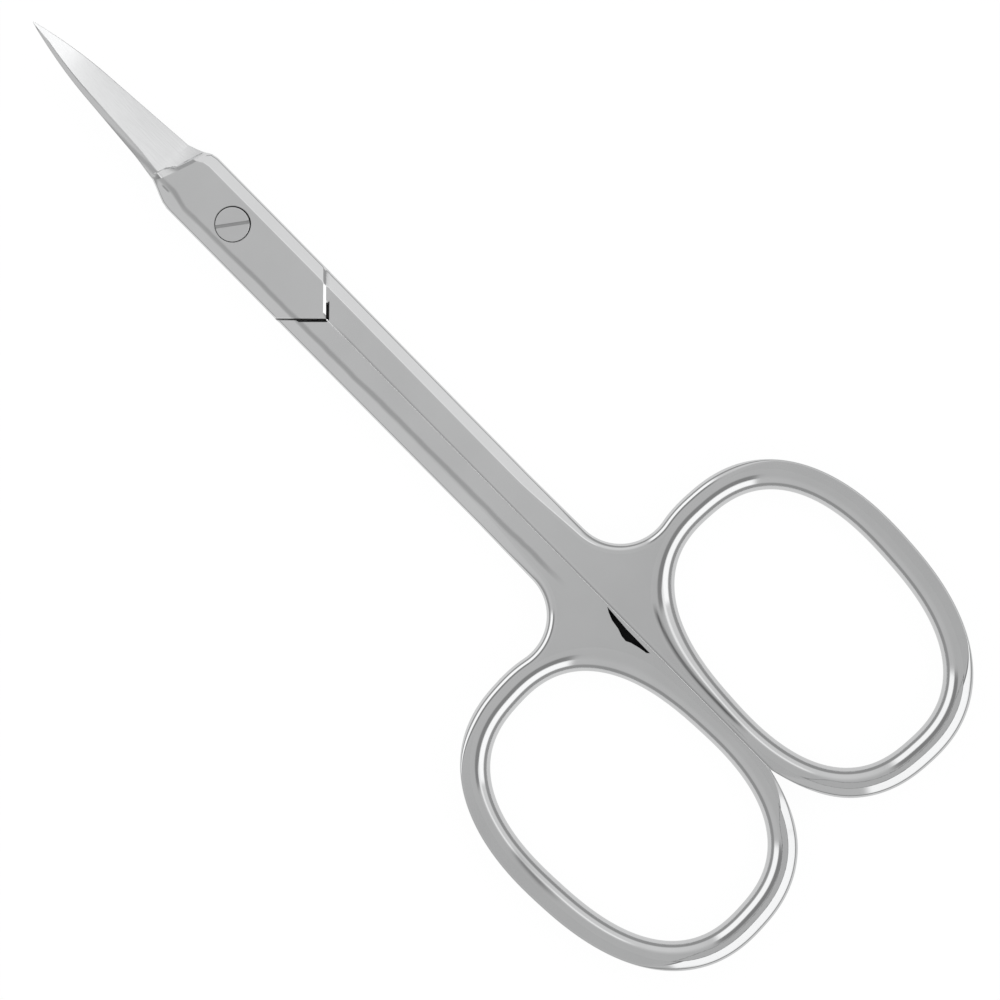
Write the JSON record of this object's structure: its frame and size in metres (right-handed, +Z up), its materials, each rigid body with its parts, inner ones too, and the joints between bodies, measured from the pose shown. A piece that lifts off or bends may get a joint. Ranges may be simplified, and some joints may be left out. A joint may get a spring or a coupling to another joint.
{
  "type": "cuticle scissors",
  "caption": "Small steel cuticle scissors with upward-bent pointed blades, a lapped joint on a slotted screw, and squarish oval finger rings.",
  "frame": {"origin": "on the pivot axis, at the underside of the joint", "axes": "+X from the pivot to the tips, +Z up along the pivot axis towards the screw's head"},
  "size_m": [0.0898, 0.0404, 0.005],
  "materials": {
    "forged_steel": "satin flats, polished bevels and rings",
    "screw_steel": "satin"
  },
  "bodies": {
    "rear": {"rear_half": "forged_steel", "pivot_screw": "screw_steel"},
    "front": {"front_half": "forged_steel"}
  },
  "joints": [
    {"name": "pivot", "type": "hinge", "parent": "rear", "child": "front", "pos_m": [0, 0, 0], "axis": [0, 0, 1], "range_deg": [0, 90]}
  ]
}
